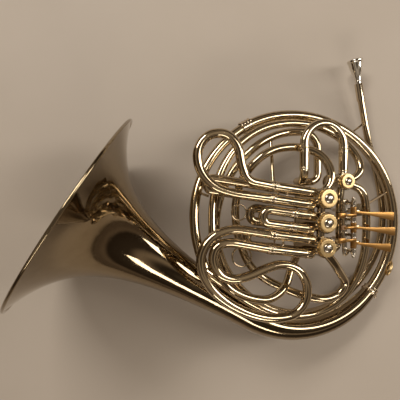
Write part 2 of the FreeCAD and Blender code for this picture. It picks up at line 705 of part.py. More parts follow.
subpart(grouped("main_slide", main_legs + [pipe("main_tube", MAIN_BOW, size("bow_tube"))]),
        "main_slide")

# ---------------------------------------------------------------- levers
LEVER_X = 40.0
HEIGHT = size("lever_height").value
LEVER_ROWS = ((22.0, 14.8, 106.0), (0.0, -7.2, 108.2), (-22.0, -31.2, 101.4))
BARREL_HALF = 7.0
THICK = size("lever_thickness")
rod_bore = size("lever_rod") + size("lever_bore_clearance") * 2


def finger_lever(number, row, tip_row, tip_x):
    """A lever: barrel on the rod, arm widening to a paddle, and a drop arm to the valve's foot."""
    hub = cylinder(f"barrel_{number}", size("lever_barrel"), (LEVER_X, row - BARREL_HALF, HEIGHT),
                   (LEVER_X, row + BARREL_HALF, HEIGHT))
    half = size("lever_width").value / 2
    tip = size("paddle_width").value / 2
    arm = plate(f"paddle_{number}", [
        (LEVER_X + 1, row - half), (tip_x - 42, row - half + (tip_row - row) * 0.45),
        (tip_x, tip_row - tip), (tip_x, tip_row + tip),
        (tip_x - 42, row + half + (tip_row - row) * 0.45), (LEVER_X + 1, row + half)], THICK)
    arm.Placement = Placement(Vector(0, 0, HEIGHT - 0.6), Rotation())
    shelf = box(f"shelf_{number}", 12.0, 5.0, 2.4, (LEVER_X, row - 2.5, HEIGHT - 3.4))
    drop = box(f"drop_{number}", 2.4, 5.0, HEIGHT - BASE.value + 7.0,
               (LEVER_X + 9.6, row - 2.5, BASE.value - 8.0))
    rear = box(f"rear_{number}", 14.0, 6.0, 2.4, (LEVER_X - 17.0, row - 3.0, HEIGHT + 1.6))
    whole = fused(f"lever_{number}_blank", [hub, arm, shelf, drop, rear])
    hole = cylinder(f"lever_hole_{number}", rod_bore, (LEVER_X, row - 12, HEIGHT),
                    (LEVER_X, row + 12, HEIGHT))
    subpart(cut_from(f"finger_lever_{number}", whole, hole), f"finger_lever_{number}")


for number, (row, tip_row, tip_x) in enumerate(LEVER_ROWS, start=1):
    finger_lever(number, row, tip_row, tip_x)
subpart(cylinder("lever_rod", size("lever_rod"), (LEVER_X, -37.0, HEIGHT),
                 (LEVER_X, 37.0, HEIGHT)), "lever_rod")
posts = []
for row in (-34.0, -11.0, 11.0, 34.0):
    hub = cylinder(f"post_hub_{len(posts)}", Size(8.0, "8.0"), (LEVER_X, row - 2.4, HEIGHT),
                   (LEVER_X, row + 2.4, HEIGHT))
    foot = box(f"post_foot_{len(posts)}", 5.0, 4.0, 18.4,
               (LEVER_X - 2.5, row - 2.0, HEIGHT - 18.6))
    blank = fused(f"post_blank_{len(posts)}", [hub, foot])
    hole = cylinder(f"post_hole_{len(posts)}", size("lever_rod"), (LEVER_X, row - 4, HEIGHT),
                    (LEVER_X, row + 4, HEIGHT))
    posts.append(cut_from(f"lever_post_{len(posts)}", blank, hole))
rail = box("lever_rail", 5.0, 72.0, 2.6, (LEVER_X - 2.5, -36.0, HEIGHT - 21.0))
subpart(grouped("lever_posts", posts + [rail]), "lever_posts")

# linkage strings: from each drop arm's foot to the plane under its stop arm
STRING_HEIGHT = BASE.value - 9.2
for number, (row, _, _) in enumerate(LEVER_ROWS):
    start = Vector(LEVER_X + 9.0, row, STRING_HEIGHT + 1.6)
    end = VALVES[number] + Vector(12.0, 0, STRING_HEIGHT)
    subpart(cylinder(f"lever_string_{number + 1}", Size(1.0, "1.0"), start, end),
            f"lever_string_{number + 1}")

# thumb lever on the floor side, on its own pin beside the change valve
THUMB = Vector(62.0, 22.0, 8.0)
thumb_hub = cylinder("thumb_hub", Size(8.0, "8.0"), THUMB + Vector(0, -8, 0), THUMB + Vector(0, 8, 0))
thumb_arm = box("thumb_arm", 34.0, 6.0, 2.4, THUMB + Vector(2, -3, -3.4))
thumb_pad = box("thumb_pad", 20.0, 20.0, 2.4, THUMB + Vector(30, -10, -3.4))
thumb_tail = box("thumb_tail", 3.0, 34.0, 2.4, THUMB + Vector(-6, 0, -3.4))
thumb_blank = fused("thumb_blank", [thumb_hub, thumb_arm, thumb_pad, thumb_tail])
thumb_hole = cylinder("thumb_hole", rod_bore, THUMB + Vector(0, -10, 0), THUMB + Vector(0, 10, 0))
subpart(cut_from("thumb_lever", thumb_blank, thumb_hole), "thumb_lever")
thumb_pin = cylinder("thumb_pin", size("lever_rod"), THUMB + Vector(0, -13, 0),
                     THUMB + Vector(0, 13, 0))
thumb_posts = [box(f"thumb_post_{tag}", 4.0, 3.0, 30.0, THUMB + Vector(-2, offset, 0))
               for tag, offset in (("low", -12.0), ("high", 9.0))]
subpart(fused("thumb_bracket", [thumb_pin] + thumb_posts
              + [box("thumb_rail", 4.0, 24.0, 3.0, THUMB + Vector(-2, -12, 27))]
              + [box("thumb_strut", 22.0, 4.0, 3.0, THUMB + Vector(-2, -2, 27))]), "thumb_bracket")

# ---------------------------------------------------------------- stays and hook
subpart(rod("little_finger_hook", [(155, -72, 9), (166, -77, 15), (180, -84, 12), (183, -86, 2)],
            Size(5.0, "5.0")), "little_finger_hook")
subpart(rod("leadpipe_stay", [(115.5, 165, -10.5), (109, 160, -9), (100, 154.5, -5), (88.5, 148, -1)],
            Size(3.2, "3.2")), "leadpipe_stay")
stays = [cylinder("stay_top", Size(5.0, "5.0"), (-62, 131, 16), (-65, 64, 33)),
         cylinder("stay_right", Size(4.0, "4.0"), (88, 34, 42), (148, 50, 6)),
         cylinder("stay_low", Size(4.0, "4.0"), (-30, -139, 16), (-33, -158, 4)),
         cylinder("stay_left", Size(4.0, "4.0"), (-156, 44, 12), (-170, 50, 6))]
subpart(grouped("coil_stays", stays), "coil_stays")

# ---------------------------------------------------------------- check and write
doc.recompute()
failed = [item.Name for item in doc.Objects if "Invalid" in item.State or "Error" in item.State]
if failed:
    raise RuntimeError(f"objects that did not build: {failed}")
labels = [item.Label for item in SUBPARTS]
if len(set(labels)) != len(labels):
    raise RuntimeError("two sub-parts share a name")
os.makedirs("parts", exist_ok=True)
for item in SUBPARTS:
    if item.Shape.isNull() or not item.Shape.isValid():
        raise RuntimeError(f"{item.Label} has no valid shape")
    item.Shape.exportStep(f"parts/{item.Label}.step")
print(len(SUBPARTS), "sub-parts written")
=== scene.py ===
"""A double french horn lying on a pale floor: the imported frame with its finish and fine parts.

Lengths inside this script are millimetres in the horn's own frame, where the bell's axis and the
outer coil lie in the plane z = 0 and the valve caps point to +z. LIE carries them to the row
frame, which is in metres.
"""
import bmesh
import bpy
import json
import math
from mathutils import Matrix, Vector

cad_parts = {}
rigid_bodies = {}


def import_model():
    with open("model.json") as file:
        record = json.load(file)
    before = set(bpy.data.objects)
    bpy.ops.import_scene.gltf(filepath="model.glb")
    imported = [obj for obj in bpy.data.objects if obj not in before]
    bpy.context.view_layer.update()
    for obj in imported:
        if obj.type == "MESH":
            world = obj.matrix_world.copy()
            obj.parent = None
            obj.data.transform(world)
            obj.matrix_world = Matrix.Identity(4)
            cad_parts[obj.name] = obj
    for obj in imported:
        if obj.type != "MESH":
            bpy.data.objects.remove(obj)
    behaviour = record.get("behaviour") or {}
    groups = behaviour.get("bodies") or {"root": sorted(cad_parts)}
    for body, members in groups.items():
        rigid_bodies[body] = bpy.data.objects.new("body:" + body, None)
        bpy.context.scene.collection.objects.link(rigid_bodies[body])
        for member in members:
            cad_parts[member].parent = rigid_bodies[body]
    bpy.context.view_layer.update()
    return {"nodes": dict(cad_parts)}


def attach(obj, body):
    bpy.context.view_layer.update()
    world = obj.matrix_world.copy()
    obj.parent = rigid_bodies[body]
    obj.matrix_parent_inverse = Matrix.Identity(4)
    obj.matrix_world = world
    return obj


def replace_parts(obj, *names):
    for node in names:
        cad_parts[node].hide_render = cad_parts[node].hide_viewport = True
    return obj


for stale in list(bpy.data.objects):
    bpy.data.objects.remove(stale)

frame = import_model()
nodes = frame["nodes"]

MM = 0.001
LIE = (Matrix.Translation(Vector((121.2, -44.6, 58.95)) * MM)
       @ Matrix.Rotation(math.radians(0.8), 4, "X")
       @ Matrix.Rotation(math.radians(14.57), 4, "Y"))
UP = Vector((0, 0, 1))


# ---------------------------------------------------------------- materials
class Graph:
    """A short way to write a material's nodes."""

    def __init__(self, name):
        self.material = bpy.data.materials.new(name)
        self.material.use_nodes = True
        self.tree = self.material.node_tree
        self.shader = self.tree.nodes["Principled BSDF"]
        self.place = self.add("ShaderNodeTexCoord").outputs["Object"]

    def add(self, kind, **settings):
        node = self.tree.nodes.new(kind)
        for key, value in settings.items():
            if key in node.inputs:
                node.inputs[key].default_value = value
            else:
                setattr(node, key, value)
        return node

    def link(self, source, target):
        self.tree.links.new(source, target)

    def set(self, **values):
        for key, value in values.items():
            self.shader.inputs[key.replace("_", " ")].default_value = value

    def noise(self, scale, detail=4.0, roughness=0.55, stretch=None):
        """Noise in metres: scale is in features per metre."""
        where = self.place
        if stretch:
            mapping = self.add("ShaderNodeMapping")
            mapping.inputs["Scale"].default_value = stretch
            self.link(where, mapping.inputs["Vector"])
            where = mapping.outputs["Vector"]
        node = self.add("ShaderNodeTexNoise", Scale=scale, Detail=detail, Roughness=roughness)
        self.link(where, node.inputs["Vector"])
        return node.outputs["Fac"]

    def ramp(self, source, low, high, first=0.0, last=1.0):
        """Map a range of the source to a range of values."""
        node = self.add("ShaderNodeMapRange")
        node.clamp = True
        for key, value in (("From Min", low), ("From Max", high), ("To Min", first),
                           ("To Max", last)):
            node.inputs[key].default_value = value
        self.link(source, node.inputs["Value"])
        return node.outputs["Result"]

    def maths(self, operation, first, second):
        node = self.add("ShaderNodeMath", operation=operation)
        for socket, value in zip(node.inputs, (first, second)):
            if isinstance(value, (int, float)):
                socket.default_value = value
            else:
                self.link(value, socket)
        return node.outputs["Value"]

    def mix(self, factor, first, second):
        node = self.add("ShaderNodeMix", data_type="RGBA")
        if isinstance(factor, (int, float)):
            node.inputs[0].default_value = factor
        else:
            self.link(factor, node.inputs[0])
        for socket, value in ((node.inputs[6], first), (node.inputs[7], second)):
            if isinstance(value, tuple):
                socket.default_value = (*value, 1.0)
            else:
                self.link(value, socket)
        return node.outputs[2]

    def bump(self, height, strength, distance):
        node = self.add("ShaderNodeBump", Strength=strength, Distance=distance)
        self.link(height, node.inputs["Height"])
        self.link(node.outputs["Normal"], self.shader.inputs["Normal"])


def metal(name, bright, deep, rough, smudge, scratch, grain=0.0, coat=0.0, relief_depth=0.16):
    """Polished metal: two tones that drift, finger smudges, hairline scratches, a worn lacquer.

    bright and deep are the tones. rough is the least roughness, smudge and scratch what prints
    and hairlines add to it. grain is a fine machined texture and coat the lacquer's weight.
    """
    g = Graph(name)
    g.set(Metallic=1.0)
    drift = g.noise(14.0, 3.0)
    spots = g.noise(95.0, 6.0, 0.62)
    tone = g.maths("ADD", g.maths("MULTIPLY", drift, 0.65), g.maths("MULTIPLY", spots, 0.35))
    g.link(g.mix(g.ramp(tone, 0.36, 0.66), bright, deep), g.shader.inputs["Base Color"])
    hair = g.ramp(g.noise(520.0, 2.0, 0.5, (1.0, 0.06, 1.0)), 0.60, 0.66)
    cross = g.ramp(g.noise(610.0, 2.0, 0.5, (0.07, 1.0, 0.6)), 0.62, 0.67)
    lines = g.maths("MAXIMUM", hair, cross)
    prints = g.ramp(g.noise(38.0, 5.0, 0.6), 0.52, 0.72, 0.0, smudge)
    rougher = g.maths("ADD", prints, g.maths("MULTIPLY", lines, scratch))
    g.link(g.maths("ADD", rougher, rough), g.shader.inputs["Roughness"])
    if coat:
        g.set(Coat_Weight=coat, Coat_Roughness=0.06, Coat_IOR=1.45)
    relief = g.maths("ADD", g.noise(55.0, 2.0), g.maths("MULTIPLY", lines, 0.04))
    if grain:
        relief = g.maths("ADD", relief, g.maths("MULTIPLY", g.noise(1900.0, 2.0), grain))
    g.bump(relief, relief_depth, 0.00012)
    return g.material


NICKEL = metal("lacquered_nickel_silver", (0.58, 0.475, 0.315), (0.48, 0.375, 0.235), 0.07, 0.10,
               0.05, coat=0.2)
# the bell is the tubes' nickel silver with a darker tone: painted shade standing in for the dark
# room its flare mirrors
BELL_PAINTED_SHADE = metal("bell_nickel_silver_painted_shade", (0.325, 0.255, 0.16), (0.265, 0.20, 0.12), 0.045, 0.07, 0.04,
             coat=0.2)
FERRULE = metal("polished_ferrules", (0.70, 0.60, 0.45), (0.60, 0.495, 0.35), 0.07, 0.08, 0.04)
YELLOW = metal("satin_yellow_brass", (0.74, 0.54, 0.27), (0.65, 0.46, 0.22), 0.30, 0.08,
               0.02, relief_depth=0.04)
LEVER = metal("lever_brass", (0.45, 0.245, 0.08), (0.38, 0.195, 0.057), 0.30, 0.08, 0.02,
              relief_depth=0.03)
ROTOR = metal("rotor_brass", (0.62, 0.47, 0.25), (0.48, 0.35, 0.17), 0.26, 0.12, 0.08, grain=0.2)
STEEL = metal("bright_steel", (0.64, 0.58, 0.49), (0.52, 0.46, 0.38), 0.16, 0.10, 0.06)
SILVER = metal("silver_plate", (0.84, 0.80, 0.72), (0.72, 0.67, 0.58), 0.09, 0.08, 0.03)


def cord_material():
    """Braided linkage cord."""
    g = Graph("braided_cord")
    g.set(Roughness=0.85)
    wave = g.add("ShaderNodeTexWave", Scale=900.0, Distortion=2.0)
    g.link(g.place, wave.inputs["Vector"])
    g.link(g.mix(wave.outputs["Fac"], (0.035, 0.032, 0.03), (0.11, 0.10, 0.09)),
           g.shader.inputs["Base Color"])
    g.bump(wave.outputs["Fac"], 0.6, 0.0002)
    return g.material


def cork_material():
    """Pressed cork of the bumpers."""
    g = Graph("pressed_cork")
    g.set(Roughness=0.9)
    cells = g.add("ShaderNodeTexVoronoi", Scale=900.0)
    g.link(g.place, cells.inputs["Vector"])
    g.link(g.mix(g.ramp(cells.outputs["Distance"], 0.1, 0.7), (0.18, 0.09, 0.04),
                 (0.45, 0.28, 0.15)), g.shader.inputs["Base Color"])
    g.bump(cells.outputs["Distance"], 0.5, 0.0003)
    return g.material


CORD = cord_material()
CORK = cork_material()
SLOT_LOOK = {"nickel_silver": NICKEL, "gold_brass": YELLOW, "lever_brass": LEVER,
             "rotor_brass": ROTOR, "steel": STEEL, "silver_plate": SILVER, "cord": CORD}
NODE_LOOK = {"bell_flare": BELL_PAINTED_SHADE, "bell_tail": BELL_PAINTED_SHADE, "coil_ferrules": FERRULE,
             "mouthpiece_receiver": FERRULE, "thumb_lever": NICKEL}


def dress_nodes():
    """Give every carried-over CAD node its procedural finish."""
    for name, item in nodes.items():
        for number, socket in enumerate(item.material_slots):
            slot = socket.material.name.split(".")[0]
            look = NODE_LOOK.get(name) or SLOT_LOOK[slot]
            item.material_slots[number].material = look


dress_nodes()


# ---------------------------------------------------------------- mesh tools
# a bar's corners in order: side, rise and the angle where each corner's arc starts
CORNERS = ((1, 1, 0), (-1, 1, 90), (-1, -1, 180), (1, -1, 270))


def facing(origin, axis, spin=None):
    """A matrix whose z runs along an axis and whose x leans to spin."""
    z = Vector(axis).normalized()
    guide = Vector(spin) if spin else (Vector((1, 0, 0)) if abs(z.x) < 0.9 else Vector((0, 1, 0)))
    y = z.cross(guide).normalized()
    x = y.cross(z)
    turn = Matrix((x, y, z)).transposed().to_4x4()
    return Matrix.Translation(Vector(origin)) @ turn


class Piece:
    """Geometry gathered into one object that rides on a body."""

    def __init__(self, name, body, look, slot):
        self.name, self.body, self.look, self.slot = name, body, look, slot
        self.bm = bmesh.new()

    def rings(self, loops, close_ends=True, wrap=False):
        """Skin a list of rings, each a list of points in order; a ring of one point is a pole."""
        made = [[self.bm.verts.new(point) for point in loop] for loop in loops]
        pairs = list(zip(made, made[1:]))
        if wrap:
            pairs.append((made[-1], made[0]))
        for first, second in pairs:
            count = max(len(first), len(second))
            for k in range(count):
                a, b = first[k % len(first)], first[(k + 1) % len(first)]
                c, d = second[(k + 1) % len(second)], second[k % len(second)]
                corners = []
                for corner in (a, b, c, d):
                    if corner not in corners:
                        corners.append(corner)
                if len(corners) > 2:
                    self.bm.faces.new(corners)
        if close_ends and not wrap:
            for loop, flip in ((made[0], True), (made[-1], False)):
                if len(loop) > 2:
                    self.bm.faces.new(loop[::-1] if flip else loop)
        return self

    def lathe(self, profile, place, segments=40, teeth=None, hollow=False):
        """Turn a profile of (radius, height) about the z of a matrix.

        teeth is (count, depth, first, last): the rings from first to last carry that knurl. A
        hollow profile is a closed loop that never meets the axis.
        """
        loops = []
        for row, (radius, height) in enumerate(profile):
            if radius < 1e-6:
                loops.append([place @ Vector((0, 0, height))])
                continue
            loop = []
            for k in range(segments):
                angle = 2 * math.pi * k / segments
                reach = radius
                if teeth and teeth[2] <= row <= teeth[3]:
                    reach -= teeth[1] * (0.5 - 0.5 * math.cos(angle * teeth[0]))
                loop.append(place @ Vector((reach * math.cos(angle), reach * math.sin(angle),
                                            height)))
            loops.append(loop)
        return self.rings(loops, wrap=hollow)

    def tube(self, points, radius, segments=16, taper=None):
        """Sweep a round section along points by parallel transport."""
        spots = [Vector(p) for p in points]
        count = len(spots)
        tangents = []
        for k in range(count):
            step = spots[min(k + 1, count - 1)] - spots[max(k - 1, 0)]
            tangents.append(step.normalized())
        side = tangents[0].orthogonal().normalized()
        loops = []
        for k in range(count):
            side = (side - tangents[k] * side.dot(tangents[k])).normalized()
            rise = tangents[k].cross(side)
            reach = radius * (taper(k / (count - 1)) if taper else 1.0)
            loops.append([spots[k] + side * (reach * math.cos(2 * math.pi * s / segments))
                          + rise * (reach * math.sin(2 * math.pi * s / segments))
                          for s in range(segments)])
        return self.rings(loops)

    def bar(self, place, length, width, height, soft=0.5):
        """A bar with rounded long edges, along x of a matrix, centred in y and z."""
        half_w, half_h = width / 2, height / 2
        outline = []
        for side, rise, start in CORNERS:
            for step in (0, 45, 90):
                turn = math.radians(start + step)
                outline.append((side * (half_w - soft) + soft * math.cos(turn),
                                rise * (half_h - soft) + soft * math.sin(turn)))
        loops = []
        full = soft * 0.8
        for x, shrink in ((0, 0.75), (full, 1.0), (length - full, 1.0), (length, 0.75)):
            loops.append([place @ Vector((x, y * (1 - (1 - shrink) * soft / half_w * 2),
                                          z * (1 - (1 - shrink) * soft / half_h * 2)))
                          for y, z in outline])
        return self.rings(loops)

    def finish(self, sharp=35.0):
        """Write the mesh: smooth faces, hard edges over the sharp angle, its look, and its body.
        """
        bmesh.ops.recalc_face_normals(self.bm, faces=self.bm.faces)
        limit = math.radians(sharp)
        for face in self.bm.faces:
            face.smooth = True
        for edge in self.bm.edges:
            if len(edge.link_faces) == 2 and edge.calc_face_angle() > limit:
                edge.smooth = False
        for vert in self.bm.verts:
            vert.co = LIE @ (vert.co * MM)
        mesh = bpy.data.meshes.new(self.name)
        self.bm.to_mesh(mesh)
        self.bm.free()
        mesh.materials.append(self.look)
        item = bpy.data.objects.new(self.name, mesh)
        bpy.context.scene.collection.objects.link(item)
        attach(item, self.body)
        return item


def smooth_line(points, steps=8):
    """A Catmull-Rom curve through points."""
    spots = [Vector(p) for p in points]
    count = len(spots)
    out = []
    for k in range(count - 1):
        a, b = spots[max(k - 1, 0)], spots[k]
        c, d = spots[k + 1], spots[min(k + 2, count - 1)]
        for s in range(steps):
            t = s / steps
            out.append(0.5 * ((2 * b) + (c - a) * t + (2 * a - 5 * b + 4 * c - d) * t * t
                              + (3 * b - a - 3 * c + d) * t ** 3))
    out.append(spots[-1])
    return out


def polar(radius, degrees, height=0.0, centre=(0.0, 0.0)):
    """A point at a radius and an angle about a centre."""
    turn = math.radians(degrees)
    return Vector((centre[0] + radius * math.cos(turn), centre[1] + radius * math.sin(turn),
                   height))


# ---------------------------------------------------------------- the horn's plan, as in the frame
VALVES = [Vector((-6.3, 41.2, 0)), Vector((-6.9, 7.6, 0)), Vector((-7.8, -26.4, 0))]
CHANGE = Vector((39.6, 65.8, 0))
CASING_BASE, CASING_TOP, CHANGE_TOP = 12.0, 80.0, 56.0
CASING_RADIUS, CHANGE_RADIUS = 14.0, 12.0
F_LEVEL, B_LEVEL, MAIN_LEVEL = 64.0, 36.0, 50.0
ALONG = Vector((-math.cos(math.radians(8)), math.sin(math.radians(8)), 0))
ACROSS = Vector((ALONG.y, -ALONG.x, 0))
SLIDE_DROP = 2.0                       # the slides leave the casings this far below their axes
HALF = (8.6, 9.3, 10.0)                # half the distance between a slide's legs
F_SLEEVE, B_SLEEVE = (74.0, 44.0, 74.0), (70.0, 46.0, 62.0)
MAIN_LEFT, MAIN_RIGHT = -25.0, 38.2
MAIN_JOINT, MAIN_SLEEVE_END = 81.0, 113.0
MAIN_RIGHT_START = 77.0
BAND_GAP = 0.8                         # between a sleeve's end and its bow's band
SLEEVE_RADIUS, BOW_RADIUS = 6.8, 6.4
LEVER_X, LEVER_Z = 40.0, 72.0
REST_X, REST_Z, PLATE_X = 24.0, 72.4, 12.0
REAR_SHARE = 0.8                       # the rear arms' spread as a share of the hinge rows'
LEVER_ROWS = ((22.0, 14.8, 106.0), (0.0, -7.2, 108.2), (-22.0, -31.2, 101.4))
MOUTH_TOP = Vector((98.3, 267.4, -8.0))
MOUTH_ALONG = Vector((16.0, -78.0, -2.0)).normalized()
COIL_RADIUS, TAIL_ANGLE = 166.0, -41.0
TOP_RADIUS, LEFT_RADIUS = 185.0, 162.0
TOP_JOINT_ANGLE = 119.0
TOP_CENTRE = polar(COIL_RADIUS - TOP_RADIUS, 50.0)
LEFT_CENTRE = TOP_CENTRE + polar(TOP_RADIUS - LEFT_RADIUS, 100.0)


def slide_point(axis, forward, side, level):
    """A point on a valve's slide: forward of its axis, to one side of its line, at a level."""
    return axis + ALONG * forward + ACROSS * side + Vector((0, -SLIDE_DROP, level))


# ---------------------------------------------------------------- bands on the tubes
def band_profile(radius, length, proud=0.8, beads=2):
    """A ferrule's outline: raised beads at its ends with a shallow waist between."""
    bead = 1.5
    skin = radius + 0.06
    rows = [(radius - 0.4, 0.0)]
    spots = [length / 2]
    if beads > 1:
        spots = [bead / 2 + (length - bead) * k / (beads - 1) for k in range(beads)]
    for spot in spots:
        for angle in (180, 140, 105, 75, 40, 0):
            turn = math.radians(angle)
            rows.append((skin + proud * math.sin(turn), spot + bead / 2 * math.cos(turn)))
    rows.append((radius - 0.4, length))
    return rows


def band(piece, start, direction, radius, length, proud=0.8, beads=2):
    """A beaded band that starts at a point and runs along a direction."""
    piece.lathe(band_profile(radius, length, proud, beads), facing(start, direction), 40,
                hollow=True)


fixed_bands = Piece("tube_bands", "horn", FERRULE, "nickel_silver")
for index, axis in enumerate(VALVES):
    for level, reach in ((F_LEVEL, F_SLEEVE[index]), (B_LEVEL, B_SLEEVE[index])):
        for side in (HALF[index], -HALF[index]):
            band(fixed_bands, slide_point(axis, reach - 5.0, side, level), ALONG, SLEEVE_RADIUS,
                 5.0, 0.75)
            band(fixed_bands, slide_point(axis, 19.0, side, level), ALONG, SLEEVE_RADIUS, 3.2,
                 0.5, 1)
for x in (MAIN_LEFT, MAIN_RIGHT):
    start = MAIN_JOINT if x == MAIN_LEFT else MAIN_RIGHT_START
    band(fixed_bands, (x, MAIN_SLEEVE_END - 6.0, MAIN_LEVEL), (0, 1, 0), SLEEVE_RADIUS, 6.0, 0.85)
    band(fixed_bands, (x, start, MAIN_LEVEL), (0, 1, 0), SLEEVE_RADIUS, 5.0, 0.75)
tail_end = polar(COIL_RADIUS, TAIL_ANGLE)
tail_along = polar(1.0, TAIL_ANGLE + 90)
band(fixed_bands, tail_end - tail_along * 9.2, tail_along, 11.6, 10.4, 0.8, 3)
top_joint = polar(LEFT_RADIUS, TOP_JOINT_ANGLE, 0, (LEFT_CENTRE.x, LEFT_CENTRE.y))
top_along = polar(1.0, TOP_JOINT_ANGLE + 90)
band(fixed_bands, top_joint - top_along * 8.4, top_along, 9.1, 16.8, 0.8, 4)
fixed_bands.finish()

for index, axis in enumerate(VALVES):
    for tag, level, reach in (("f", F_LEVEL, F_SLEEVE[index]), ("b", B_LEVEL, B_SLEEVE[index])):
        rims = Piece(f"{tag}{index + 1}_bow_bands", f"{tag}{index + 1}_slide", FERRULE,
                     "nickel_silver")
        # the short middle slide passes its neighbours' bands, so its own are lower
        proud = 0.45 if index == 1 else 0.8
        for side in (HALF[index], -HALF[index]):
            band(rims, slide_point(axis, reach + BAND_GAP, side, level), ALONG, BOW_RADIUS, 4.2,
                 proud)
        rims.finish()
main_rims = Piece("main_bow_bands", "main_slide", FERRULE, "nickel_silver")
for x in (MAIN_LEFT, MAIN_RIGHT):
    band(main_rims, (x, MAIN_SLEEVE_END + BAND_GAP, MAIN_LEVEL), (0, 1, 0), BOW_RADIUS, 5.0, 0.9)
main_rims.finish()


# ---------------------------------------------------------------- tail ring and finger hook
tail_ring = Piece("tail_ring", "horn", FERRULE, "nickel_silver")
spot = tail_end - tail_along * 6.0
outward = polar(1.0, TAIL_ANGLE)
tail_ring.lathe([(11.2, -1.8), (12.6, -1.8), (13.1, -1.2), (13.3, 0), (13.1, 1.2), (12.6, 1.8),
                 (11.2, 1.8)], facing(spot, tail_along), 56, hollow=True)
BALL_RADIUS = 2.6
ball_pin = [(0, -3.4), (1.5, -3.4), (1.5, -1.6), (1.9, -1.2)]
for turn in range(45, 180, 15):
    ball_pin.append((BALL_RADIUS * math.sin(math.radians(turn)),
                     0.9 - BALL_RADIUS * math.cos(math.radians(turn))))
ball_pin.append((0, 0.9 + BALL_RADIUS))
for reach in (outward * 14.6, outward * -7.6 + UP * 11.8):
    tail_ring.lathe(ball_pin, facing(spot + reach, reach.normalized()), 28)
tail_ring.finish(45)

# the hook curls over the tube and ends above it, on a small soldered foot
hook = Piece("finger_hook", "horn", YELLOW, "gold_brass")
curl = smooth_line([(157.5, -64.0, 5.0), (156.0, -67.5, 9.5), (153.0, -72.0, 12.6),
                    (150.5, -77.0, 13.6), (149.0, -82.0, 12.0), (148.6, -85.5, 8.6)], 8)
hook.tube(curl, 2.7, 20, taper=lambda t: 1.0 if t < 0.97 else 0.7)
hook.lathe([(0, -0.6), (4.6, -0.6), (4.6, 0.4), (3.6, 1.0), (2.4, 1.3), (0, 1.3)],
           facing((157.2, -64.4, 5.6), (0.1, -0.2, 1)), 32)
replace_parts(hook.finish(60), "little_finger_hook")


# ---------------------------------------------------------------- valve caps and casings
CAP_RADIUS, CHANGE_CAP_RADIUS = 12.9, 11.0
HOLE_SHARE = 0.54                      # the cap's hole as a share of its radius
SCALLOPS = (18, 1.05, 2, 6)            # how many, how deep, and the profile rows that carry them


def cap(name, node, axis, top, radius):
    """A screwed cap: a flat satin disc with scalloped edge and a hole for the bearing's boss."""
    piece = Piece(name, "horn", YELLOW, "gold_brass")
    hole = radius * HOLE_SHARE
    profile = [(hole, top + 0.1), (radius - 0.9, top + 0.1), (radius - 0.2, top + 0.5),
               (radius, top + 1.1), (radius, top + 2.9), (radius, top + 4.3),
               (radius - 0.25, top + 4.8), (radius - 0.9, top + 5.0), (radius - 2.2, top + 5.05),
               (radius * 0.80, top + 5.05), (radius * 0.79, top + 4.9), (radius * 0.77, top + 4.9),
               (radius * 0.76, top + 5.05), (hole + 0.5, top + 5.05), (hole, top + 4.6)]
    piece.lathe(profile, Matrix.Translation((axis.x, axis.y, 0)), 144, SCALLOPS, hollow=True)
    item = piece.finish(28)
    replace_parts(item, node)
    boss = Piece(f"{name}_boss", "horn", STEEL, "steel")
    boss.lathe([(0, top + 0.4), (hole - 0.5, top + 0.4), (hole - 0.5, top + 4.5),
                (hole - 1.0, top + 5.3), (hole * 0.62, top + 6.2), (hole * 0.3, top + 6.65),
                (0, top + 6.8)], Matrix.Translation((axis.x, axis.y, 0)), 40)
    boss.bar(Matrix.Translation((axis.x - hole * 0.6, axis.y, top + 6.5)), hole * 1.2, 0.9, 0.9,
             0.2)
    boss.finish(60)


for number, axis in enumerate(VALVES, start=1):
    cap(f"screw_cap_{number}", f"valve_cap_{number}", axis, CASING_TOP, CAP_RADIUS)
cap("change_screw_cap", "change_valve_cap", CHANGE, CHANGE_TOP, CHANGE_CAP_RADIUS)

# rounded ends that carry each sleeve into its casing
knuckles = Piece("casing_knuckles", "horn", NICKEL, "nickel_silver")
dome = [(6.2, 0.0)]
for turn in range(0, 90, 12):
    dome.append((SLEEVE_RADIUS * math.cos(math.radians(turn)),
                 0.3 + 5.4 * math.sin(math.radians(turn))))
dome.append((0, 5.7))
for index, axis in enumerate(VALVES):
    for level in (F_LEVEL, B_LEVEL):
        for side in (HALF[index], -HALF[index]):
            knuckles.lathe(dome, facing(slide_point(axis, 13.2, side, level), ALONG * -1), 40)
knuckles.finish(60)


def brace(piece, start, end, radius):
    """A turned stay between two tubes, with a collar at its middle and a flange on each tube."""
    start, end = Vector(start), Vector(end)
    length = (end - start).length
    piece.lathe([(0, 0), (radius * 2.3, 0), (radius * 2.2, 0.5), (radius * 1.2, 1.1),
                 (radius, 1.6), (radius, length * 0.42), (radius * 1.5, length * 0.47),
                 (radius * 1.5, length * 0.53), (radius, length * 0.58), (radius, length - 1.6),
                 (radius * 1.2, length - 1.1), (radius * 2.2, length - 0.5),
                 (radius * 2.3, length), (0, length)], facing(start, end - start), 24)


stays = Piece("slide_stays", "horn", FERRULE, "nickel_silver")
for index, reach in ((0, 53.0), (2, 57.0)):
    half = HALF[index] - 5.6
    for level in (F_LEVEL, B_LEVEL):
        brace(stays, slide_point(VALVES[index], reach, half, level),
              slide_point(VALVES[index], reach, -half, level), 1.35)
stays.finish(50)

rings = Piece("casing_rings", "horn", FERRULE, "nickel_silver")
casings = [(axis, CASING_TOP, CASING_RADIUS) for axis in VALVES]
casings.append((CHANGE, CHANGE_TOP, CHANGE_RADIUS))
for axis, top, radius in casings:
    place = Matrix.Translation((axis.x, axis.y, 0))
    for height, reach in ((top - 4.6, 4.4), (CASING_BASE + 0.2, 3.6)):
        rings.lathe([(radius - 0.4, height), (radius + 0.5, height), (radius + 0.9, height + 0.5),
                     (radius + 0.9, height + reach - 0.7), (radius + 0.4, height + reach),
                     (radius - 0.4, height + reach)], place, 72, hollow=True)
rings.finish()


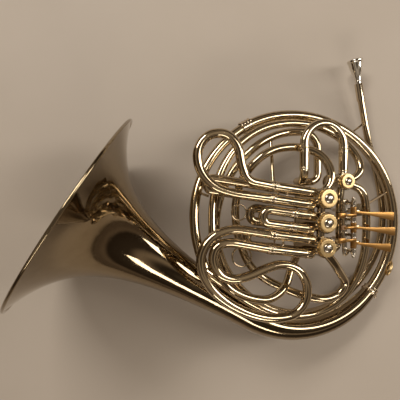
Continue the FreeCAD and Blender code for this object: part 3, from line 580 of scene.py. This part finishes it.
# ---------------------------------------------------------------- levers
def lever(number, row, tip_row, tip_x):
    """A spatula on its barrel, with the drop arm, the rear arm and its screw."""
    piece = Piece(f"lever_{number}", f"finger_lever_{number}", LEVER, "lever_brass")
    slant = tip_row - row
    length = tip_x - LEVER_X
    loops = []
    sections = 26
    for k in range(sections + 1):
        t = k / sections
        x = LEVER_X + 1.5 + (length - 1.5) * t
        middle = row + slant * t
        half = 2.0 + 4.5 * max(0.0, (t - 0.22) / 0.78) ** 1.15
        if t > 0.965:
            half -= 0.7 * (t - 0.965) / 0.035
        thick = 1.9 - 0.5 * t
        height = LEVER_Z + 0.9 + 1.1 * math.sin(math.pi * min(1.0, t * 1.1)) - 0.4 * t
        soft = thick * 0.36
        loop = []
        for side, rise, start in CORNERS:
            for step in (0, 30, 60, 90):
                turn = math.radians(start + step)
                loop.append(Vector((x, middle + side * (half - soft) + soft * math.cos(turn),
                                    height + rise * (thick / 2 - soft) + soft * math.sin(turn))))
        loops.append(loop)
    piece.rings(loops)
    barrel = [(3.2, -7.0), (4.2, -6.8), (4.3, -5.4), (3.7, -5.2), (3.7, -4.6), (4.3, -4.4),
              (4.3, 4.4), (3.7, 4.6), (3.7, 5.2), (4.3, 5.4), (4.2, 6.8), (3.2, 7.0)]
    bore = [(2.06, 7.0), (2.06, -7.0)]
    piece.lathe(barrel + bore, facing((LEVER_X, row, LEVER_Z), (0, 1, 0)), 32, hollow=True)
    drop = Piece(f"lever_drop_{number}", f"finger_lever_{number}", NICKEL, "lever_brass")
    drop.bar(facing((LEVER_X, row, LEVER_Z - 2.2), (0, 0, 1)), 11.9, 5.0, 2.4)
    drop.bar(facing((LEVER_X + 10.8, row, LEVER_Z - 1.2), (1, 0, 0), (0, 0, -1)), 66.6, 5.0, 2.4)
    drop.finish(40)
    # the rear arm lies on its cork; the outer levers' arms end in a plate with a screw
    rear = row * REAR_SHARE
    piece.bar(facing((REST_X - 1.0, rear, LEVER_Z + 4.4), UP), LEVER_X - REST_X + 2.0, 3.6, 2.2)
    if row:
        piece.bar(facing((PLATE_X, rear, LEVER_Z + 5.0), UP), REST_X - PLATE_X, 6.5, 2.2)
        screw(piece, (PLATE_X + 3.6, rear, LEVER_Z + 6.0), UP, 1.9, 1.0)
    item = piece.finish(40)
    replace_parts(item, f"finger_lever_{number}")


def screw(piece, origin, axis, radius, height):
    """A domed screw head with its slot drawn as a fine bar."""
    place = facing(origin, axis)
    piece.lathe([(0, -0.4), (radius, -0.4), (radius, height * 0.45), (radius * 0.86, height * 0.8),
                 (radius * 0.5, height), (0, height * 1.05)], place, 28)
    piece.bar(place @ Matrix.Translation((-radius * 0.8, 0, height * 1.02)), radius * 1.6,
              0.5, 0.5, 0.12)


for number, (row, tip_row, tip_x) in enumerate(LEVER_ROWS, start=1):
    lever(number, row, tip_row, tip_x)

rest = Piece("lever_rest_rail", "horn", FERRULE, "nickel_silver")
half_rail = [(38.5, 35.0, 61.0), (34.0, 37.0, 67.0), (27.0, 38.5, 71.6), (REST_X, 36.0, REST_Z),
             (REST_X, 20.0, REST_Z)]
half_wire = [(39.0, 33.0, 57.0), (34.5, 33.0, 58.0), (32.0, 30.0, 58.6), (32.0, 10.0, 58.6)]
rail = half_rail + [(REST_X, 0.0, REST_Z)] + [(x, -y, z) for x, y, z in reversed(half_rail)]
wire = half_wire + [(x, -y, z) for x, y, z in reversed(half_wire)]
rest.tube(smooth_line(rail, 6), 1.9, 16)
rest.tube(smooth_line(wire, 6), 1.0, 12)
rest.finish(60)
corks = Piece("rest_corks", "horn", CORK, "cord")
for row, _, _ in LEVER_ROWS:
    corks.lathe([(1.85, -3.0), (3.0, -3.0), (3.25, -2.6), (3.25, 2.6), (3.0, 3.0), (1.85, 3.0)],
                facing((REST_X, row * REAR_SHARE, REST_Z), (0, 1, 0)), 28, hollow=True)
corks.finish(40)

hinge = Piece("hinge_trim", "horn", STEEL, "steel")
for y, sign in ((-37.0, -1), (37.0, 1)):
    hinge.lathe([(0, -0.5), (3.4, -0.5), (3.6, 0.2), (3.6, 1.4), (2.2, 2.2), (2.6, 3.0),
                 (2.9, 4.0), (2.5, 5.2), (1.4, 6.0), (0, 6.3)],
                facing((LEVER_X, y, LEVER_Z), (0, sign, 0)), 32)
hinge.finish()

SPRING_RADIUS, TURN_STEPS = 3.3, 12
COIL_STEPS = 3 * TURN_STEPS
springs = Piece("lever_springs", "horn", STEEL, "steel")
for start, end in ((8.6, 7.2), (13.4, 14.8), (-8.6, -7.2), (-13.4, -14.8), (29.2, 31.4),
                   (-29.2, -31.4)):
    spots = []
    for k in range(COIL_STEPS + 1):
        angle = 2 * math.pi * k / TURN_STEPS
        spots.append((LEVER_X + SPRING_RADIUS * math.cos(angle),
                      start + (end - start) * k / COIL_STEPS,
                      LEVER_Z + SPRING_RADIUS * math.sin(angle)))
    springs.tube(spots, 0.42, 8)
springs.finish()


# ---------------------------------------------------------------- mouthpiece
def mouthpiece():
    """Cup, rim, throat and shank, turned smoothly."""
    piece = Piece("mouthpiece_turned", "mouthpiece", SILVER, "silver_plate")
    outside = [(9.3, -0.5), (9.6, 0.35), (10.5, 1.0), (11.6, 1.05), (12.4, 0.3), (12.6, -0.8),
               (12.3, -2.3), (11.6, -3.6), (11.2, -5.0), (10.7, -7.5), (9.9, -11.5), (8.9, -15.5),
               (7.6, -19.5), (6.4, -23.5), (5.5, -27.5), (4.9, -31.5), (4.45, -35.0), (4.2, -38.0),
               (4.2, -51.0)]
    inside = [(3.3, -51.0), (3.0, -44.0), (2.7, -36.0), (2.4, -28.0), (2.7, -25.0), (4.0, -21.0),
              (6.0, -16.0), (7.7, -10.5), (8.8, -5.0)]
    place = facing(MOUTH_TOP, MOUTH_ALONG * -1)
    curve = smooth_line([(r, z, 0) for r, z in outside], 4)
    inner = smooth_line([(r, z, 0) for r, z in inside], 4)
    piece.lathe([(p.x, p.y) for p in curve + inner], place, 64, hollow=True)
    piece.lathe([(4.6, -35.2), (5.2, -35.0), (5.5, -34.3), (5.5, -33.3), (5.2, -32.6),
                 (4.6, -32.4)], place, 48, hollow=True)
    item = piece.finish(50)
    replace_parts(item, "mouthpiece")


mouthpiece()

# ---------------------------------------------------------------- camera, floor and lights
camera = bpy.data.objects.new("camera", bpy.data.cameras.new("camera"))
bpy.context.scene.collection.objects.link(camera)
camera.location = (-0.0284, -0.0066, 0.6536)
camera.rotation_euler = (0.0, 0.0209, 0.0)
camera.data.lens = 33.70
camera.data.sensor_width = 36.0
camera.data.clip_start = 0.02
bpy.context.scene.camera = camera

FLOOR_HALF = 3
floor_mesh = bpy.data.meshes.new("floor")
floor_mesh.from_pydata([(x * FLOOR_HALF, y * FLOOR_HALF, 0)
                        for x, y in ((-1, -1), (1, -1), (1, 1), (-1, 1))], [], [(0, 1, 2, 3)])
floor = bpy.data.objects.new("floor", floor_mesh)
bpy.context.scene.collection.objects.link(floor)
floor.location.z = -0.0006
g = Graph("pale_floor")
g.set(Roughness=0.6, Specular_IOR_Level=0.3)
g.link(g.mix(g.ramp(g.noise(3.0, 4.0), 0.3, 0.7), (0.49, 0.425, 0.355), (0.53, 0.46, 0.39)),
       g.shader.inputs["Base Color"])
floor_mesh.materials.append(g.material)


def softbox(name, spot, aim, width, depth, power, colour=(1.0, 0.95, 0.88)):
    """A soft rectangular lamp that looks at a point."""
    data = bpy.data.lights.new(name, "AREA")
    data.shape = "RECTANGLE"
    data.size, data.size_y = width, depth
    data.energy = power
    data.color = colour
    item = bpy.data.objects.new(name, data)
    item.location = spot
    item.rotation_euler = (Vector(aim) - Vector(spot)).to_track_quat("-Z", "Y").to_euler()
    bpy.context.scene.collection.objects.link(item)


softbox("key", (-0.7, 1.2, 1.5), (0, 0, 0.05), 1.2, 0.35, 22.0)
softbox("side", (1.5, 0.3, 1.1), (0, 0, 0.05), 0.35, 1.4, 13.0)
softbox("front", (0.3, -1.5, 1.1), (0, 0, 0.05), 1.4, 0.22, 8.0, (1.0, 0.92, 0.82))

world = bpy.data.worlds.new("studio")
bpy.context.scene.world = world
world.use_nodes = True
wall = world.node_tree
background = wall.nodes["Background"]
coordinates = wall.nodes.new("ShaderNodeTexCoord")
split = wall.nodes.new("ShaderNodeSeparateXYZ")
fade = wall.nodes.new("ShaderNodeValToRGB")
wall.links.new(coordinates.outputs["Generated"], split.inputs["Vector"])
wall.links.new(split.outputs["Z"], fade.inputs["Fac"])
wall.links.new(fade.outputs["Color"], background.inputs["Color"])
# bands of light and dark from the horizon (0) to straight up (1), which the tubes mirror
fade.color_ramp.interpolation = "EASE"
tones = ((0.0, (0.15, 0.11, 0.08)), (0.10, (0.20, 0.15, 0.11)), (0.19, (0.05, 0.036, 0.026)),
         (0.44, (0.07, 0.053, 0.04)), (0.56, (0.40, 0.32, 0.245)), (0.66, (0.05, 0.038, 0.028)),
         (0.82, (0.40, 0.33, 0.255)), (0.97, (0.07, 0.055, 0.043)))
stops = fade.color_ramp.elements
while len(stops) < len(tones):
    stops.new(1.0)
for stop, (position, tone) in zip(stops, tones):
    stop.position = position
    stop.color = (*tone, 1.0)
background.inputs["Strength"].default_value = 0.9

bpy.context.scene.view_settings.view_transform = "Standard"
